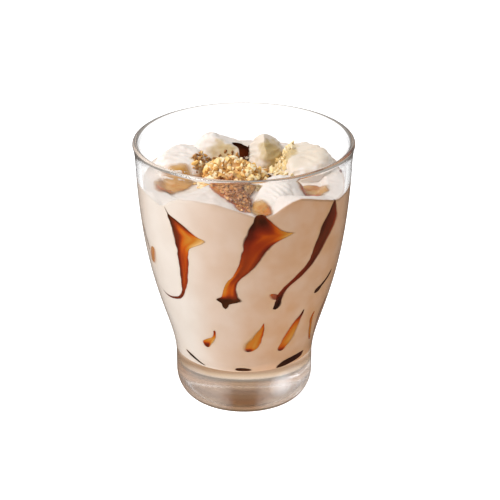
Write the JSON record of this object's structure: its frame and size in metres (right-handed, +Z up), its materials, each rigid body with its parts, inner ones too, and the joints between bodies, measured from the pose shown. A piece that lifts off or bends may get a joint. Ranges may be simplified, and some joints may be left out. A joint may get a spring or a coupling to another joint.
{
  "type": "ice cream sundae",
  "caption": "Soft ice cream sundae in a flared heavy-based glass tumbler, streaked with caramel sauce on the inside of the glass and topped with chopped nuts",
  "frame": {"origin": "middle of the glass's base, on the surface that it stands on", "axes": "+Z up along the glass's axis; the front of the sundae, where the front lump and the dip with the caramel lie, faces -Y"},
  "size_m": [0.0862, 0.0862, 0.108],
  "materials": {
    "clear_glass": "clear, polished",
    "ice_cream": "soft ice cream, smooth and slightly moist",
    "chopped_nuts": "roasted nuts, rough"
  },
  "bodies": {
    "root": {"glass_tumbler": "clear_glass", "ice_cream": "ice_cream", "lump_left": "ice_cream", "lump_back_left": "ice_cream", "lump_back_right": "ice_cream", "lump_right": "ice_cream", "lump_front": "ice_cream", "nut_heap": "chopped_nuts"}
  },
  "joints": []
}
